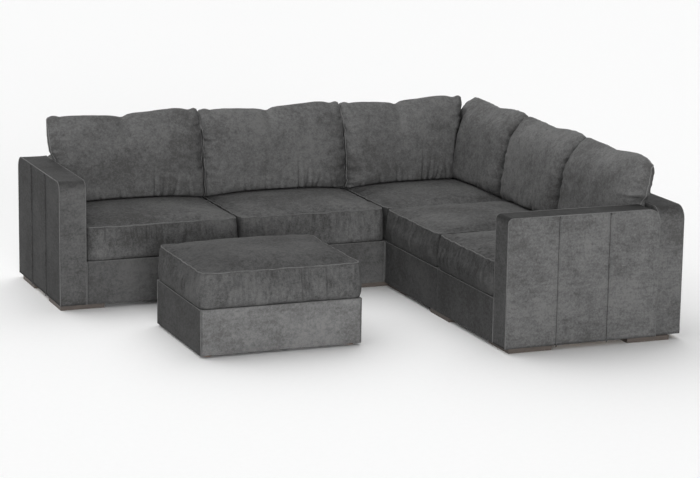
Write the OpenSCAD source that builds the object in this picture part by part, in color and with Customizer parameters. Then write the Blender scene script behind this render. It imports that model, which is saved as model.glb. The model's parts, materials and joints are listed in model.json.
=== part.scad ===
// Modular corner sofa: three seats in a row, a wing of two more, a loose ottoman.
// Each seat and each upright side is a boxed module. The modules stand with short
// pegs in flat wooden shoes, and steel clamps under the rails hold them together.
// X runs along the row, Y runs away from the viewer, Z is up, and the origin lies
// on the floor under the middle of the whole layout.

/* [Seat modules] */
// Long side of a seat module
seat_w = 889; // [820:1:960]
// Short side of a seat module
seat_d = 736.6; // [700:0.1:800]
// Height of an upholstered base, from its hem to its top
base_h = 243; // [200:1:280]
// Thickness of the rails round a seat frame
rail_t = 22; // [18:1:28]
// Size of the square blocks in the corners of a seat frame
block_w = 80; // [78:1:110]
// Height of the two cross members of a seat frame
joist_h = 60; // [40:1:120]
// Width of one webbing strap of the seat deck
strap_w = 50; // [35:1:60]
// Thickness of one webbing strap
strap_t = 2; // [1:0.5:4]
// Thickness of the dust cloth under a seat frame
dust_t = 1; // [0.5:0.5:3]

/* [Side modules] */
// Thickness of an arm or a back side
side_t = 152.4; // [140:0.1:170]
// Height of an arm or a back side, from its hem to its top
side_h = 693; // [640:1:760]
// Radius of the two upper corners of a side, seen square to its face
side_round = 70; // [50:1:90]
// Thickness of the foam pad round a side frame
pad_t = 25; // [15:1:30]
// Thickness of the timber in a side frame
timber_t = 35; // [25:1:45]
// How far the wing's last back side stops short of the arm's outer face
end_recess = 20; // [0:1:40]

/* [Fabric] */
// Thickness of a removable fabric cover
cover_t = 2.5; // [1.5:0.5:4]
// Working gap between upholstered pieces
ease = 0.3; // [0.2:0.1:0.8]

/* [Seat cushions] */
// Height of a seat cushion at its top seam
cushion_h = 190; // [150:1:230]
// Rise of the cushion's top from the seam to its middle
crown_h = 34; // [15:1:50]
// Corner radius of a cushion, seen from above
cushion_round = 46; // [30:1:70]
// How far the sides draw in between the corners of a cushion
cushion_draw = 4; // [0:0.5:10]
// How far the free front of a cushion swells out past its base
front_swell = 9; // [0:1:20]
// Gap between a cushion and the edge of its module
cushion_gap = 2.5; // [2:0.5:8]

/* [Back pillows] */
// Height of a back pillow, from its lower edge to its corner tips
pillow_h = 512; // [440:1:560]
// Greatest thickness of a back pillow
pillow_t = 164; // [130:1:180]
// Dip of the pillow's top edge between its corner tips
pillow_dip = 30; // [10:1:50]
// Share by which the sides of a pillow draw in at half height
pillow_draw = 0.035; // [0:0.005:0.06]
// Lean of a back pillow, in degrees from upright
pillow_lean = 9.5; // [5:0.5:14]
// Lean of a pillow's end over an arm or a back beside it, in degrees
pillow_splay = 5; // [0:0.5:8]
// How much further back the top edge of a pillow tips
pillow_tip = 30; // [10:1:45]
// Gap between a pillow and the edge of its module
pillow_gap = 2; // [1:0.5:8]

/* [Feet and clamps] */
// Side of a square shoe
shoe_w = 250; // [250:1:270]
// Thickness of a shoe
shoe_h = 25; // [22:1:40]
// How far a shoe reaches past the joint between two modules
shoe_past = 80; // [80:1:84]
// Radius of a peg under a module
peg_r = 24; // [18:0.5:24]
// Length of a peg below its module
peg_len = 12; // [8:1:16]
// Distance of a peg's axis from the sides of its seat module
peg_in = 52; // [50:0.5:52]
// Radius of the neck between a peg's head and its frame
neck_r = 18; // [12:1:18]
// Height of the neck below the hem
neck_len = 1; // [0.5:0.5:2]
// Radius of the stud that fixes a peg
stud_r = 4; // [3:0.5:5]
// Length of the stud inside the frame
stud_len = 28; // [20:1:40]
// Thickness of the steel of a clamp
clamp_t = 3; // [2:0.5:4]
// Width of a clamp
clamp_w = 50; // [40:1:55]
// Height of a clamp's two legs
clamp_h = 60; // [45:1:80]

/* [Ottoman] */
// Distance from the left arm's outer face to the ottoman's left side
ottoman_x = 409; // [200:1:900]
// Gap between the row of seats and the ottoman
ottoman_gap = 469.4; // [469:0.1:800]

/* [Hidden] */
// The whole layout
total_w = 2 * side_t + 3 * seat_w;
arm_len = seat_d + side_t;
joint_1 = side_t + seat_w;
joint_2 = side_t + 2 * seat_w;
joint_3 = side_t + 3 * seat_w;
front_y = -2 * seat_d - side_t;

// Heights inside a seat module, from its hem
frame_in = ease / 2 + cover_t + ease;
frame_top = base_h - cover_t - ease - 2 * strap_t;
seam_z = base_h + ease + cushion_h;

// Depths inside a side module, from its faces
core_in = frame_in + pad_t + ease;
bays = 3;
bay_drop = side_round / 3;

// Feet
shoe_in = 4;
shoe_back = 24;
socket_gap = 0.5;
socket_deep = peg_len + 1;
stud_gap = 0.05;
side_peg_in = 40;
far_peg_in = 129;

// Clamps reach from inside the seat's rail into the side's bottom rail
clamp_shares = [0.42, 0.58];
clamp_reach = 20;
slot_gap = 1;

// Shapes of the seat cushions
crown_pow = 2.5;
swell_pow = 4;
seam_inset = 6;
// Rings of the boxing: share of its height, inset, and share of the free front's swell
BOXING = [[0, 14, 0], [0.1, 3, 0.5], [0.4, 0, 1], [0.75, 0, 0.8], [1, seam_inset, 0]];
// Rings of the crown: share of the way from the middle to the seam
CROWN = [0.95, 0.84, 0.66, 0.42];
corner_steps = 3;
edge_steps = 5;

// Shapes of the back pillows
rest_gap = 0.6;
pillow_sink = 12;
press_rise = 0.2;
pillow_reach = 136;
pillow_shy = 40;
tip_pow = 4;
// How square a pillow's section is: towards its sides, its top and its foot
side_pow = 3;
top_pow = 3.4;
foot_pow = 7;
edge_pow = 0.55;
pillow_cols = 7;
pillow_rows = 6;

arc_steps = 10;

fabric = "#5b5b5b";
fabric_dark = "#4c4b4a";
timber = "#c8a878";
foam = "#e9dfc0";
shoe_wood = "#584b43";
webbing = "#8d8570";
dust_black = "#2b2b2b";
peg_black = "#242424";
steel = "#a9adb2";

SEATS = ["left_seat", "middle_seat", "corner_seat", "wing_seat", "end_seat", "ottoman"];
OTTOMAN = 5;
SIDES = ["left_arm", "rear_back_left", "rear_back_middle", "rear_back_right",
    "wing_back_corner", "wing_back_middle", "wing_back_end", "right_arm"];
PILLOWS = ["left_pillow", "middle_pillow", "corner_rear_pillow", "corner_side_pillow",
    "wing_pillow", "end_pillow"];

// Each seat: the plan position of its front left corner
SEAT_AT = [[side_t, 0], [joint_1, 0], [joint_2, 0], [joint_2, -seat_d], [joint_2, -2 * seat_d],
    [ottoman_x, -ottoman_gap - seat_d]];

// Each side: plan position of its start, turn, length, distance of its pegs from its two ends
SIDE_AT = [
    [[side_t, 0], 90, arm_len, far_peg_in, far_peg_in],
    [[side_t, seat_d], 0, seat_w, peg_in, peg_in],
    [[joint_1, seat_d], 0, seat_w, peg_in, peg_in],
    [[joint_2, seat_d], 0, seat_w, peg_in, peg_in],
    [[joint_3, arm_len], -90, arm_len, far_peg_in, peg_in],
    [[joint_3, 0], -90, seat_d, peg_in, peg_in],
    [[joint_3, -seat_d], -90, arm_len - end_recess, peg_in, far_peg_in],
    [[joint_3, -2 * seat_d], 180, seat_w, far_peg_in, far_peg_in]];

// Each shoe: plan position of its front left corner. Most bridge a joint between modules.
shoe_run = shoe_w - shoe_past;
SHOE_AT = [
    [shoe_in, shoe_in], [joint_1 - shoe_run, shoe_in], [joint_2 - shoe_run, shoe_in],
    [shoe_in, seat_d - shoe_run], [joint_1 - shoe_run, seat_d - shoe_run],
    [joint_2 - shoe_run, seat_d - shoe_run], [joint_3 - shoe_run, seat_d - shoe_run],
    [joint_3 - shoe_run, -shoe_w / 2], [joint_2 + shoe_back, -shoe_w - shoe_in],
    [joint_2 + shoe_in, -seat_d - shoe_run], [joint_3 - shoe_run, -seat_d - shoe_run],
    [joint_2 + shoe_back, front_y + shoe_in], [joint_3 - shoe_run, front_y + shoe_in]];

// Each pillow: its seat, its turn, then what it loses at its left and right ends, and how
// far these ends lean outward. The one behind the corner seat makes room for the one beside it.
PILLOW_AT = [
    [0, 0, [0, 0], [pillow_splay, 0]], [1, 0, [0, 0], [0, 0]],
    [2, 0, [pillow_shy, pillow_reach], [0, pillow_lean]], [2, -90, [0, 0], [pillow_splay, 0]],
    [3, -90, [0, 0], [0, 0]], [4, -90, [0, 0], [0, pillow_splay]]];

module plan() translate([-total_w / 2, seat_d / 2, 0]) children();

// Puts a piece in the place of seat i, with z = 0 at the module's hem
module at_seat(i)
    plan() translate([SEAT_AT[i][0], SEAT_AT[i][1], i == OTTOMAN ? peg_len : shoe_h]) children();

// Puts a piece in the place of side i: X along it, Y outward from its inner face
module at_side(i)
    plan() translate([SIDE_AT[i][0][0], SIDE_AT[i][0][1], shoe_h]) rotate([0, 0, SIDE_AT[i][1]])
        children();

module block(low, high) translate(low) cube(high - low);

// The four peg positions of a seat
module seat_peg_spots()
    for (x = [peg_in, seat_w - peg_in], y = [peg_in, seat_d - peg_in]) translate([x, y, 0])
        children();

// The two peg positions of side i
module side_peg_spots(i)
    for (x = [SIDE_AT[i][3], SIDE_AT[i][2] - SIDE_AT[i][4]]) translate([x, side_peg_in, 0])
        children();

// The two clamp positions of side i
module clamp_spots(i)
    for (share = clamp_shares) translate([SIDE_AT[i][2] * share, 0, 0]) children();

// Seat frame: four rails, two cross members, and a block in each corner for its peg
module seat_frame(i) color(timber) at_seat(i) {
    low = [frame_in, frame_in, dust_t];
    high = [seat_w - frame_in, seat_d - frame_in, frame_top];
    inner = [rail_t, rail_t, 0];
    difference() {
        union() {
            difference() {
                block(low, high);
                block(low + inner - [0, 0, 1], high - inner + [0, 0, 1]);
            }
            for (k = [1, 2]) block([seat_w * k / 3 - rail_t / 2, low[1] + rail_t / 2, dust_t],
                [seat_w * k / 3 + rail_t / 2, high[1] - rail_t / 2, dust_t + joist_h]);
            for (x = [low[0], high[0] - block_w], y = [low[1], high[1] - block_w])
                block([x, y, dust_t], [x + block_w, y + block_w, dust_t + joist_h]);
        }
        seat_peg_spots() cylinder(r = stud_r + stud_gap, h = 2 * (dust_t + stud_len + 1),
            center = true, $fn = 48);
    }
}

// Seat deck: webbing straps that lie across the rails in two layers
module seat_deck(i) color(webbing) at_seat(i) translate([0, 0, frame_top]) {
    long_n = floor((seat_d - 2 * frame_in) / (2 * strap_w));
    cross_n = floor((seat_w - 2 * frame_in) / (2 * strap_w));
    long_pitch = (seat_d - 2 * frame_in - strap_w) / (long_n - 1);
    cross_pitch = (seat_w - 2 * frame_in - strap_w) / (cross_n - 1);
    for (k = [0 : long_n - 1]) translate([frame_in, frame_in + k * long_pitch, 0])
        cube([seat_w - 2 * frame_in, strap_w, strap_t]);
    for (k = [0 : cross_n - 1]) translate([frame_in + k * cross_pitch, frame_in, strap_t])
        cube([strap_w, seat_d - 2 * frame_in, strap_t]);
}

// Fabric cover of a seat base: a box that is open at its hem
module base_cover(i) color(fabric) at_seat(i) {
    out = ease / 2;
    wall = out + cover_t;
    difference() {
        block([out, out, 0], [seat_w - out, seat_d - out, base_h]);
        block([wall, wall, -1], [seat_w - wall, seat_d - wall, base_h - cover_t]);
    }
}

// Outline of a side of a given length, drawn in by a margin on the ends and the top
function side_outline(len, margin) =
    let (r = side_round - margin, low = margin, high = len - margin, top = side_h - margin)
    concat([[low, 0], [high, 0]],
        [for (k = [0 : arc_steps]) let (a = 90 * k / arc_steps)
            [high - r + r * cos(a), top - r + r * sin(a)]],
        [for (k = [0 : arc_steps]) let (a = 90 + 90 * k / arc_steps)
            [low + r + r * cos(a), top - r + r * sin(a)]]);

// The slab of side i, drawn in by a margin all round, and reaching below its hem
module side_slab(i, margin, below = 0) {
    len = SIDE_AT[i][2];
    translate([0, side_t - margin, 0]) rotate([90, 0, 0]) linear_extrude(side_t - 2 * margin) {
        polygon(side_outline(len, margin));
        if (below > 0) translate([margin, -below]) square([len - 2 * margin, below + 1]);
    }
}

// Side frame: rails and posts round three bays, with bores for pegs and slots for clamps
module side_frame(i) color(timber) at_side(i) {
    len = SIDE_AT[i][2];
    bay_w = (len - 2 * core_in - timber_t) / bays - timber_t;
    top = side_h - core_in;
    difference() {
        side_slab(i, core_in);
        for (k = [0 : bays - 1])
            translate([core_in + timber_t + k * (bay_w + timber_t), core_in - 1, timber_t])
                cube([bay_w, side_t - 2 * core_in + 2,
                    top - 2 * timber_t - (k == 0 || k == bays - 1 ? bay_drop : 0)]);
        side_peg_spots(i) cylinder(r = stud_r + stud_gap, h = 2 * (stud_len + 1), center = true,
            $fn = 48);
        clamp_spots(i) translate([-clamp_w / 2 - slot_gap, core_in + clamp_reach - slot_gap, -1])
            cube([clamp_w + 2 * slot_gap, clamp_t + 2 * slot_gap, timber_t + 2]);
    }
}

// Foam pad that wraps a side frame
module side_pad(i) color(foam) at_side(i) difference() {
    side_slab(i, frame_in);
    side_slab(i, frame_in + pad_t, 1);
}

// Fabric cover of a side, open at its hem
module side_cover(i) color(fabric) at_side(i) difference() {
    side_slab(i, ease / 2);
    side_slab(i, ease / 2 + cover_t, 1);
}

// Rise of a cushion's top above its seam, at a place measured from the cushion's middle
function crown(x, y, hx, hy) = crown_h
    * (1 - pow(min(1, abs(x) / hx), crown_pow)) * (1 - pow(min(1, abs(y) / hy), crown_pow));

// Rectangle with round corners and drawn-in sides, as a ring of points about its middle
function cushion_ring(hx, hy, r) = [for (q = [0 : 3]) let (
        sx = (q == 0 || q == 3) ? 1 : -1, sy = q < 2 ? 1 : -1,
        next = q % 2 == 0 ? [-1, 1] : [1, -1],
        corner = [sx * (hx - r), sy * (hy - r)],
        span = q % 2 == 0 ? 2 * (hx - r) : 2 * (hy - r),
        way = [[-1, 0], [0, -1], [1, 0], [0, 1]][q])
    for (k = [0 : corner_steps + edge_steps - 1])
        let (a = 90 * q + 90 * min(k, corner_steps) / corner_steps,
            run = span * max(0, k - corner_steps) / edge_steps,
            p = corner + r * [cos(a), sin(a)] + run * way)
        [p[0] * (1 - cushion_draw / hx * (1 - pow(p[1] / hy, 2))),
            p[1] * (1 - cushion_draw / hy * (1 - pow(p[0] / hx, 2)))]];

// A point of a cushion's boxing, moved out on its free side
function swelled(p, hx, hy, swell, side) =
    side == "y" && p[1] < 0 ? p + [0, -swell * pow(-p[1] / hy, swell_pow)]
    : side == "x" && p[0] < 0 ? p + [-swell * pow(-p[0] / hx, swell_pow), 0] : p;

// Boxed cushion: flat underneath, swelling at the free front, crowned above its seam
module seat_cushion(i) color(fabric) at_seat(i) {
    hx = seat_w / 2 - cushion_gap;
    hy = seat_d / 2 - cushion_gap;
    free = i == 3 || i == 4 ? "x" : i == 2 ? "none" : "y";
    seam = cushion_ring(hx - seam_inset, hy - seam_inset, cushion_round);
    count = len(seam);
    rings = concat(
        [for (w = BOXING) [for (p = cushion_ring(hx - w[1], hy - w[1], cushion_round))
            let (s = swelled(p, hx, hy, front_swell * w[2], free)) [s[0], s[1], cushion_h * w[0]]]],
        [for (t = CROWN) [for (p = seam)
            [t * p[0], t * p[1], cushion_h + crown(t * p[0], t * p[1], hx, hy)]]]);
    levels = len(rings);
    points = concat([for (ring = rings) each ring], [[0, 0, 0], [0, 0, cushion_h + crown_h]]);
    under = levels * count;
    faces = concat(
        [for (k = [0 : count - 1]) [under, k, (k + 1) % count]],
        [for (l = [0 : levels - 2], k = [0 : count - 1]) let (n = (k + 1) % count)
            each [[l * count + k, (l + 1) * count + k, l * count + n],
                [l * count + n, (l + 1) * count + k, (l + 1) * count + n]]],
        [for (k = [0 : count - 1])
            [(levels - 1) * count + k, under + 1, (levels - 1) * count + (k + 1) % count]]);
    translate([seat_w / 2, seat_d / 2, base_h + ease]) polyhedron(points, faces);
}

// Share of a pillow's thickness at v, which runs from -1 to 1 across the pillow
function fullness(v, square) = pow(max(0, 1 - pow(abs(v), square)), edge_pow);

// A point of a pillow's face, with X across it, Y = 0 on the side that it leans on, and Z
// from the module's hem. face is -1 at the front and 1 at the back, and ends holds the lean
// of the pillow's two ends.
function pillow_point(s, t, face, width, ends, wide, deep, shift) =
    let (low = seam_z - pillow_sink,
        high = low + pillow_h - pillow_dip * (1 - s * s),
        z = low + (high - low) * (t + 1) / 2,
        rise = (z - seam_z) / pillow_h,
        middle = -pillow_t / 2 - rest_gap + (z - seam_z - pillow_t / 2) * tan(pillow_lean)
            + pillow_tip * pow(max(0, rise), tip_pow),
        half = pillow_t / 2 * fullness(s, side_pow) * fullness(t, t > 0 ? top_pow : foot_pow),
        x = s * (width / 2 * (1 - pillow_draw * (1 - t * t))
            + (z - side_h) * tan(s < 0 ? ends[0] : ends[1])),
        limit = -rest_gap + (z - side_h) * tan(pillow_lean),
        y = min(limit, middle + face * half),
        seat = crown(x + shift, y + deep / 2, wide / 2 - cushion_gap, deep / 2 - cushion_gap))
    [x, y, max(z, seam_z + seat + rest_gap + press_rise * (z - low))];

// Pillow of a given width, over a seat that is wide and deep as the pillow sees it
module pillow_form(width, ends, wide, deep, shift) {
    cols = 2 * pillow_cols;
    rows = 2 * pillow_rows;
    front_n = (cols + 1) * (rows + 1);
    points = concat(
        [for (j = [0 : rows], i = [0 : cols]) pillow_point(sin(90 * (i / pillow_cols - 1)),
            sin(90 * (j / pillow_rows - 1)), -1, width, ends, wide, deep, shift)],
        [for (j = [1 : rows - 1], i = [1 : cols - 1]) pillow_point(sin(90 * (i / pillow_cols - 1)),
            sin(90 * (j / pillow_rows - 1)), 1, width, ends, wide, deep, shift)]);
    front = function (i, j) j * (cols + 1) + i;
    back = function (i, j) i == 0 || i == cols || j == 0 || j == rows ? front(i, j)
        : front_n + (j - 1) * (cols - 1) + i - 1;
    // The diagonals run from each corner inward, so that no corner is pinched flat
    halves = function (a, b, c, d, cross) cross ? [[a, b, d], [a, d, c]] : [[a, b, c], [c, b, d]];
    faces = [for (j = [0 : rows - 1], i = [0 : cols - 1])
        let (cross = (i < pillow_cols) == (j < pillow_rows))
        each concat(
            halves(front(i, j), front(i, j + 1), front(i + 1, j), front(i + 1, j + 1), cross),
            [for (f = halves(back(i, j), back(i, j + 1), back(i + 1, j), back(i + 1, j + 1), cross))
                [f[0], f[2], f[1]]])];
    polyhedron(points, faces);
}

// Pillow k in its place
module pillow(k) {
    turned = PILLOW_AT[k][1] != 0;
    wide = turned ? seat_d : seat_w;
    deep = turned ? seat_w : seat_d;
    cuts = PILLOW_AT[k][2];
    shift = (cuts[0] - cuts[1]) / 2;
    width = wide - cuts[0] - cuts[1] - 2 * pillow_gap;
    color(fabric_dark) at_seat(PILLOW_AT[k][0])
        translate([turned ? seat_w : wide / 2 + shift, turned ? seat_d / 2 : seat_d, 0])
            rotate([0, 0, PILLOW_AT[k][1]]) pillow_form(width, PILLOW_AT[k][3], wide, deep, shift);
}

// Peg with its neck and stud: top is the height of the frame's underside above the hem
module peg(top) {
    translate([0, 0, -peg_len]) cylinder(r = peg_r, h = peg_len - neck_len, $fn = 64);
    translate([0, 0, -neck_len - 1]) cylinder(r = neck_r, h = neck_len + 1 + top, $fn = 64);
    cylinder(r = stud_r, h = top + stud_len, $fn = 48);
}

module sofa_pegs() color(peg_black) {
    for (i = [0 : OTTOMAN - 1]) at_seat(i) seat_peg_spots() peg(dust_t);
    for (i = [0 : len(SIDES) - 1]) at_side(i) side_peg_spots(i) peg(0);
}

module ottoman_pegs() color(peg_black) at_seat(OTTOMAN) seat_peg_spots() peg(dust_t);

module socket()
    translate([0, 0, -socket_deep]) cylinder(r = peg_r + socket_gap, h = socket_deep + 1, $fn = 64);

module shoes() color(shoe_wood) difference() {
    plan() for (p = SHOE_AT) translate([p[0], p[1], 0]) cube([shoe_w, shoe_w, shoe_h]);
    for (i = [0 : OTTOMAN - 1]) at_seat(i) seat_peg_spots() socket();
    for (i = [0 : len(SIDES) - 1]) at_side(i) side_peg_spots(i) socket();
}

// Steel clamp: a flat under the hems, a leg behind the seat's rail and one in the side's slot
clamp_low = -frame_in - rail_t - ease - clamp_t;
clamp_high = core_in + clamp_reach + clamp_t;
module clamp(grow = 0) translate([-clamp_w / 2, 0, 0]) {
    block([-grow, clamp_low - grow, -clamp_t], [clamp_w + grow, clamp_high + grow, 0]);
    block([-grow, clamp_low - grow, -clamp_t],
        [clamp_w + grow, clamp_low + clamp_t + grow, clamp_h]);
    block([-grow, clamp_high - clamp_t - grow, -clamp_t],
        [clamp_w + grow, clamp_high + grow, clamp_h]);
}

module clamps() color(steel) for (i = [0 : len(SIDES) - 1]) at_side(i) clamp_spots(i) clamp();

module dust_sheet() block([frame_in, frame_in, 0], [seat_w - frame_in, seat_d - frame_in, dust_t]);

// Dust cloth under a seat frame, with a hole round each peg's neck
module dust_cloth(i) at_seat(i) difference() {
    dust_sheet();
    seat_peg_spots() cylinder(r = neck_r + socket_gap, h = 3 * dust_t, center = true, $fn = 64);
}

module dust_cloths() color(dust_black) difference() {
    for (i = [0 : OTTOMAN - 1]) dust_cloth(i);
    for (i = [0 : len(SIDES) - 1]) at_side(i) clamp_spots(i) clamp(slot_gap);
}

module ottoman_dust_cloth() color(dust_black) dust_cloth(OTTOMAN);

for (i = [0 : len(SEATS) - 1]) {
    seat_frame(i);
    seat_deck(i);
    base_cover(i);
    seat_cushion(i);
}
for (i = [0 : len(SIDES) - 1]) {
    side_frame(i);
    side_pad(i);
    side_cover(i);
}
for (i = [0 : len(PILLOWS) - 1]) pillow(i);
shoes();
sofa_pegs();
ottoman_pegs();
clamps();
dust_cloths();
ottoman_dust_cloth();
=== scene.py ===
import json
import math

import bpy
import numpy as np
from mathutils import Matrix, Vector


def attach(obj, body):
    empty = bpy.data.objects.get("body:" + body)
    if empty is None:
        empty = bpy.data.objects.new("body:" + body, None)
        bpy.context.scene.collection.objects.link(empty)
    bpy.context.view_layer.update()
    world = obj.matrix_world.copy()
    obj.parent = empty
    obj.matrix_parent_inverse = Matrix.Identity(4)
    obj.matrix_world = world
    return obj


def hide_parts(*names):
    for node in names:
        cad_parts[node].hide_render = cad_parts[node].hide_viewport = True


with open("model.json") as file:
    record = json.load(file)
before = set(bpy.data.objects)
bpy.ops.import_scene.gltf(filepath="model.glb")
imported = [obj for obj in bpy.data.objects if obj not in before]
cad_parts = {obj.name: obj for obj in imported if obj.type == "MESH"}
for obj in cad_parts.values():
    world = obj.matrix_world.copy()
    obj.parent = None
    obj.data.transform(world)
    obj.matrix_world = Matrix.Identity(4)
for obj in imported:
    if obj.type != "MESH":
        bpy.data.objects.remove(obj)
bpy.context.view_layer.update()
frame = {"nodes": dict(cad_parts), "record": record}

nodes = frame["nodes"]
scene = bpy.context.scene

# Sizes of the modules in metres, as in the CAD part
SEAT_W, SEAT_D, SIDE_T = 0.889, 0.7366, 0.1524
SIDE_H, SIDE_ROUND = 0.693, 0.070
BASE_H, CUSHION_H, CROWN = 0.243, 0.190, 0.034
SHOE_H, PEG_LEN = 0.025, 0.012
OTTOMAN_LEFT, OTTOMAN_AWAY, END_RECESS = 0.409, 0.4694, 0.020
TOTAL_W = 2 * SIDE_T + 3 * SEAT_W
REST_GAP, CUSHION_GAP, PILLOW_GAP, HAIR = 0.0003, 0.0025, 0.002, 0.0006
CUSHION_Z = BASE_H + REST_GAP
SEAM_Z = CUSHION_Z + CUSHION_H
CUSHION_X, CUSHION_Y = SEAT_W / 2 - CUSHION_GAP, SEAT_D / 2 - CUSHION_GAP
JOINT_1, JOINT_2, JOINT_3 = SIDE_T + SEAT_W, SIDE_T + 2 * SEAT_W, SIDE_T + 3 * SEAT_W
ARM_LEN = SEAT_D + SIDE_T

# Plan position of each seat's front left corner, measured from the left arm's front corner
SEATS = {
    "left_seat": (SIDE_T, 0), "middle_seat": (JOINT_1, 0), "corner_seat": (JOINT_2, 0),
    "wing_seat": (JOINT_2, -SEAT_D), "end_seat": (JOINT_2, -2 * SEAT_D),
    "ottoman": (OTTOMAN_LEFT, -OTTOMAN_AWAY - SEAT_D)}

# Plan position of each side's start, its turn in degrees, its length, and which ends stand free
SIDES = {
    "left_arm": ((SIDE_T, 0), 90, ARM_LEN, (True, True)),
    "rear_back_left": ((SIDE_T, SEAT_D), 0, SEAT_W, (False, False)),
    "rear_back_middle": ((JOINT_1, SEAT_D), 0, SEAT_W, (False, False)),
    "rear_back_right": ((JOINT_2, SEAT_D), 0, SEAT_W, (False, False)),
    "wing_back_corner": ((JOINT_3, ARM_LEN), -90, ARM_LEN, (True, False)),
    "wing_back_middle": ((JOINT_3, 0), -90, SEAT_D, (False, False)),
    "wing_back_end": ((JOINT_3, -SEAT_D), -90, ARM_LEN - END_RECESS, (False, True)),
    "right_arm": ((JOINT_3, -2 * SEAT_D), 180, SEAT_W, (False, True))}

# Radius of the two top corners of the sides whose free ends look tighter in the photograph
SIDE_ROUNDS = {"left_arm": (0.050, SIDE_ROUND), "right_arm": (SIDE_ROUND, 0.028)}

# Angles in degrees at which pillows lean, and at which their ends lean out over an arm or a back
LEANING, SPLAY = 9.5, 5

# Seat of each pillow, whether it stands in the wing, what it loses at its two ends, and how far
# these lean outward in degrees
PILLOWS = {
    "left_pillow": ("left_seat", False, (0, 0), (SPLAY, 0)),
    "middle_pillow": ("middle_seat", False, (0, 0), (0, 0)),
    "corner_rear_pillow": ("corner_seat", False, (0, 0.136), (0, LEANING)),
    "corner_side_pillow": ("corner_seat", True, (0, 0), (SPLAY, 0)),
    "wing_pillow": ("wing_seat", True, (0, 0), (0, 0)),
    "end_pillow": ("end_seat", True, (0, 0), (0, SPLAY))}


# Noise and meshes

def eased(share):
    """Share from 0 to 1 that starts and ends gently."""
    return share * share * (3 - 2 * share)


def clouds(points, size, seed):
    """Smooth noise from -1 to 1 at each point, with lumps about as wide as size says."""
    period = 32
    lattice = np.random.RandomState(seed).uniform(-1, 1, (period, period, period))
    place = np.asarray(points, float) / np.asarray(size, float)
    cell = np.floor(place).astype(int)
    part = eased(place - cell)
    total = np.zeros(len(place))
    for corner in np.ndindex(2, 2, 2):
        weight = np.ones(len(place))
        for k in range(3):
            weight = weight * (part[:, k] if corner[k] else 1 - part[:, k])
        at = (cell + corner) % period
        total += weight * lattice[at[:, 0], at[:, 1], at[:, 2]]
    return total


def layers(points, seed, *pairs):
    """Sum of layers of noise with a share and a size each."""
    return sum(share * clouds(points, size, seed + k) for k, (share, size) in enumerate(pairs))


def bell(distance, width):
    return np.exp(-(distance / width) ** 2)


def waves(points, broad, fine, sunk, seed):
    """Shallow waves of a fitted cloth, sunk a little so that they stay inside its surface."""
    return layers(points, seed, (0.0006, broad), (0.0003, fine)) - sunk


def crease(off, *swells):
    """Profile across a narrow groove, with swells beside it: share, place and width of each."""
    line = -bell(off, 0.007)
    for share, place, width in swells:
        line = line + share * bell(off - place, width)
    return line


def grid_faces(index):
    """Quads between neighbours in a 2-D array of point numbers."""
    return np.stack([index[:-1, :-1], index[:-1, 1:], index[1:, 1:], index[1:, :-1]],
                    -1).reshape(-1, 4)


def link(name, data):
    """A new object in the scene."""
    obj = bpy.data.objects.new(name, data)
    scene.collection.objects.link(obj)
    return obj


def make_object(name, points, faces, material_index=None):
    mesh = bpy.data.meshes.new(name)
    mesh.from_pydata(np.asarray(points, float).tolist(), [], [list(map(int, f)) for f in faces])
    mesh.polygons.foreach_set("use_smooth", [True] * len(mesh.polygons))
    if material_index is not None:
        mesh.polygons.foreach_set("material_index", material_index)
    mesh.update()
    return link(name, mesh)


def read_values(items, key, width=1, kind=np.float32):
    flat = np.empty(len(items) * width, kind)
    items.foreach_get(key, flat)
    return flat


def read_points(mesh):
    return read_values(mesh.vertices, "co", 3).reshape(-1, 3).astype(float)


def point_normals(points, faces):
    """Normals at the points of a mesh of quads."""
    p = points[faces]
    flat = np.cross(p[:, 2] - p[:, 0], p[:, 3] - p[:, 1])
    normals = np.zeros_like(points)
    for k in range(4):
        np.add.at(normals, faces[:, k], flat)
    return normals / np.maximum(np.linalg.norm(normals, axis=1), 1e-12)[:, None]


def tube(path, radius, closed, sides=6):
    """Points and quads of a round tube along a path."""
    path = np.asarray(path, float)
    if closed:
        ahead, behind = np.roll(path, -1, 0), np.roll(path, 1, 0)
    else:
        ahead = np.vstack([path[1:], path[-1:]])
        behind = np.vstack([path[:1], path[:-1]])
    along = ahead - behind
    along /= np.maximum(np.linalg.norm(along, axis=1), 1e-9)[:, None]
    askew = [0.21, 0.34, 0.92]
    side = np.cross(along[0], askew)
    angles = np.arange(sides)[:, None] * 2 * math.pi / sides
    rings = []
    for point, way in zip(path, along):
        side = side - way * side.dot(way)
        side = side / np.linalg.norm(side)
        rings.append(point + radius * (
            np.cos(angles) * side + np.sin(angles) * np.cross(way, side)))
    count = len(path)
    index = np.arange(count * sides).reshape(count, sides)
    index = np.hstack([index, index[:, :1]])
    if closed:
        # the rings turn a little on their way round, so the last one meets the nearest start
        first, last = rings[0], rings[-1]
        turn = min(range(sides), key=lambda k: np.abs(np.roll(first, -k, 0) - last).sum())
        start = np.roll(np.arange(sides), -turn)
        index = np.vstack([index, np.append(start, start[0])])
        return np.vstack(rings), grid_faces(index)
    faces = [list(f) for f in grid_faces(index)]
    faces.append(list(range(sides))[::-1])
    faces.append(list(range((count - 1) * sides, count * sides)))
    return np.vstack(rings), faces


def smooth_path(path):
    """Closed path with a point added halfway between its own, on a smooth curve."""
    before, after, beyond = (np.roll(path, k, 0) for k in (1, -1, -2))
    halfway = (9 * (path + after) - before - beyond) / 16
    return np.stack([path, halfway], 1).reshape(-1, 3)


class Parts:
    """Points and faces of several shells that become one object."""

    def __init__(self):
        self.points, self.faces, self.slots, self.count = [], [], [], 0

    def add(self, points, faces, slot=0):
        self.points.append(np.asarray(points, float))
        self.faces.extend([[int(i) + self.count for i in f] for f in faces])
        self.slots.extend([slot] * len(faces))
        self.count += len(points)

    def build(self, name):
        return make_object(name, np.vstack(self.points), self.faces, self.slots)


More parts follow.
